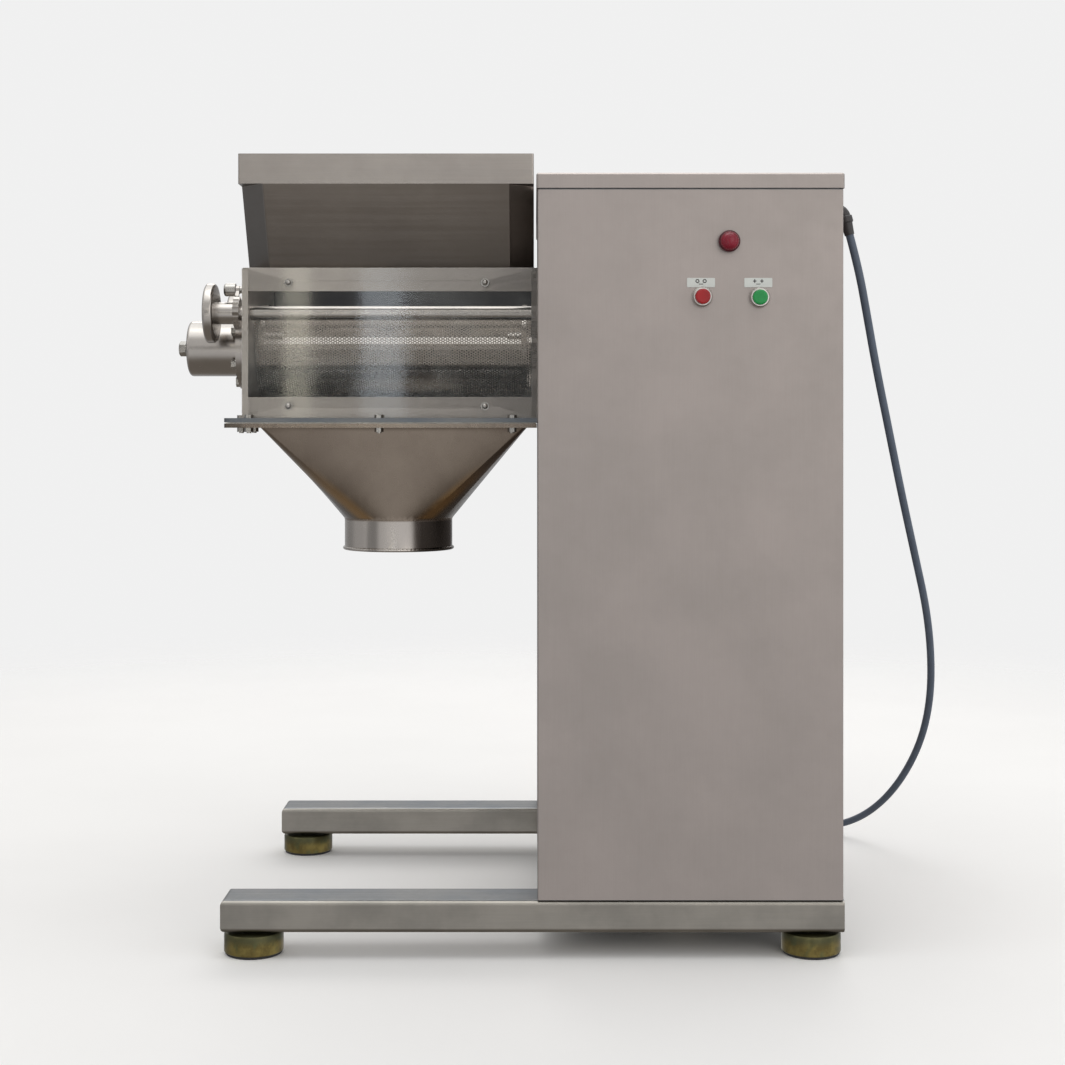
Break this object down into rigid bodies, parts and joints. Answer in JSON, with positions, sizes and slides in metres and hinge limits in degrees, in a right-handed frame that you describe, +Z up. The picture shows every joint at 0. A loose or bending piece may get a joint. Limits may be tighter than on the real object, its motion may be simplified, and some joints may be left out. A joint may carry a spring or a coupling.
{
  "type": "oscillating granulator",
  "caption": "Stainless oscillating granulator: drive column on a two-beam base, overhung chamber with swinging bar rotor and curved screen, hopper above, discharge cone below.",
  "frame": {"origin": "on the floor under the middle of the machine, without the supply lead", "axes": "+Z up, +X from the handwheel end towards the column's outer side, +Y from the operator's side to the back"},
  "size_m": [1.341, 1.0052, 1.263],
  "materials": {
    "brushed_panel": "grey brushed stainless sheet",
    "base_steel": "brushed stainless box section",
    "hopper_steel": "brushed stainless sheet",
    "polished_steel": "polished stainless",
    "machined_steel": "turned and ground steel",
    "fastener_steel": "bright fasteners",
    "frame_paint": "grey primer",
    "zinc_cup": "yellow zinc plating",
    "rubber_black": "moulded rubber",
    "clear_cover": "clear sheet",
    "cast_iron_green": "painted casting",
    "motor_paint": "enamel",
    "bronze": "cast bronze",
    "red_plastic": "translucent red",
    "green_plastic": "moulded green",
    "lens_red": "ribbed red lens",
    "dark_plastic": "black moulding",
    "silver_ring": "satin ring",
    "legend_white": "white engraved plate",
    "control_plastic": "light grey moulding",
    "cable_rubber": "slate grey jacket",
    "belt_rubber": "ribbed belt",
    "gasket_white": "food grade silicone",
    "plug_red": "moulded plug",
    "screen_steel": "perforated sheet"
  },
  "bodies": {
    "machine": {"base_frame": "base_steel", "foot_pads": "rubber_black", "foot_cups": "zinc_cup", "foot_studs": "fastener_steel", "column_frame": "frame_paint", "front_panel": "brushed_panel", "side_panels": "brushed_panel", "rear_panel": "brushed_panel", "top_lid": "brushed_panel", "door_hinges": "machined_steel", "pilot_lamp_bezel": "dark_plastic", "pilot_lamp_lens": "lens_red", "stop_button_bezel": "silver_ring", "start_button_bezel": "silver_ring", "legend_plates": "legend_white", "contact_blocks": "control_plastic", "contactor_panel": "control_plastic", "cable_gland": "dark_plastic", "power_cable": "cable_rubber", "cable_coil": "cable_rubber", "power_plug": "plug_red", "chamber_end_plates": "brushed_panel", "chamber_front_frame": "brushed_panel", "chamber_rear_wall": "brushed_panel", "chamber_flange": "base_steel", "window_cover": "clear_cover", "window_nuts": "fastener_steel", "hopper": "hopper_steel", "flange_gasket": "gasket_white", "chamber_bolts": "fastener_steel", "discharge_cone": "polished_steel", "bearing_housing": "machined_steel", "shaft_bearings": "machined_steel", "bearing_cap_nut": "fastener_steel", "screen_sheet": "screen_steel", "pawl_pins": "fastener_steel", "gearbox_housing": "cast_iron_green", "gearbox_cover": "cast_iron_green", "rack_guide": "bronze", "v_belts": "belt_rubber", "motor_body": "motor_paint", "motor_base": "frame_paint"},
    "rotor": {"rotor_shaft": "machined_steel", "rotor_end_discs": "machined_steel", "rotor_bars": "machined_steel"},
    "rack": {"gear_rack": "machined_steel"},
    "wheel": {"worm_wheel": "bronze"},
    "worm": {"worm_shaft": "machined_steel", "worm_pulley": "cast_iron_green"},
    "motor_rotor": {"motor_pulley": "cast_iron_green"},
    "front_clamp": {"front_clamp_tube": "machined_steel", "front_handwheel": "machined_steel"},
    "rear_clamp": {"rear_clamp_tube": "machined_steel", "rear_handwheel": "machined_steel"},
    "front_pawl_finger": {"front_pawl": "machined_steel"},
    "rear_pawl_finger": {"rear_pawl": "machined_steel"},
    "stop_button": {"stop_button_cap": "red_plastic"},
    "start_button": {"start_button_cap": "green_plastic"},
    "door": {"rear_door": "brushed_panel"},
    "latch": {"door_latch": "silver_ring"}
  },
  "joints": [
    {"name": "rotor_swing", "type": "hinge", "parent": "machine", "child": "rotor", "pos_m": [0, 0, 0.955], "axis": [1, 0, 0], "range_deg": [-180, 180]},
    {"name": "rack_slide", "type": "slide", "parent": "machine", "child": "rack", "axis": [0, 0, 1], "range_m": [-0.0943, 0.0943]},
    {"name": "motor_spin", "type": "hinge", "parent": "machine", "child": "motor_rotor", "pos_m": [0.3, 0, 0.278], "axis": [0, 1, 0], "continuous": true},
    {"name": "worm_spin", "type": "hinge", "parent": "machine", "child": "worm", "pos_m": [0.232, 0, 0.5074], "axis": [0, 1, 0], "continuous": true},
    {"name": "worm_wheel_spin", "type": "hinge", "parent": "machine", "child": "wheel", "pos_m": [0, -0.04425, 0.64], "axis": [1, 0, 0], "continuous": true},
    {"name": "front_clamp_turn", "type": "hinge", "parent": "machine", "child": "front_clamp", "pos_m": [0, -0.116, 1.0095], "axis": [1, 0, 0], "range_deg": [0, 180]},
    {"name": "rear_clamp_turn", "type": "hinge", "parent": "machine", "child": "rear_clamp", "pos_m": [0, 0.116, 1.0095], "axis": [1, 0, 0], "range_deg": [-180, 0]},
    {"name": "front_pawl_lift", "type": "hinge", "parent": "machine", "child": "front_pawl_finger", "pos_m": [0, -0.106, 1.0495], "axis": [1, 0, 0], "range_deg": [-35, 0]},
    {"name": "rear_pawl_lift", "type": "hinge", "parent": "machine", "child": "rear_pawl_finger", "pos_m": [0, 0.106, 1.0495], "axis": [1, 0, 0], "range_deg": [0, 35]},
    {"name": "stop_press", "type": "slide", "parent": "machine", "child": "stop_button", "axis": [0, 1, 0], "range_m": [0, 0.004], "stiffness_N_per_m": 900},
    {"name": "start_press", "type": "slide", "parent": "machine", "child": "start_button", "axis": [0, 1, 0], "range_m": [0, 0.004], "stiffness_N_per_m": 900},
    {"name": "rear_door_swing", "type": "hinge", "parent": "machine", "child": "door", "pos_m": [0.513, 0.382, 0.635], "axis": [0, 0, 1], "range_deg": [-110, 0]},
    {"name": "door_latch_turn", "type": "hinge", "parent": "door", "child": "latch", "pos_m": [0.148, 0.389, 0.635], "axis": [0, 1, 0], "range_deg": [-90, 0]}
  ],
  "couplings": [
    {"joint": "rack_slide", "follows": "rotor_swing", "m_per_rad": 0.03},
    {"joint": "worm_spin", "follows": "motor_spin", "ratio": 0.89105},
    {"joint": "worm_wheel_spin", "follows": "motor_spin", "ratio": 0.044553}
  ]
}
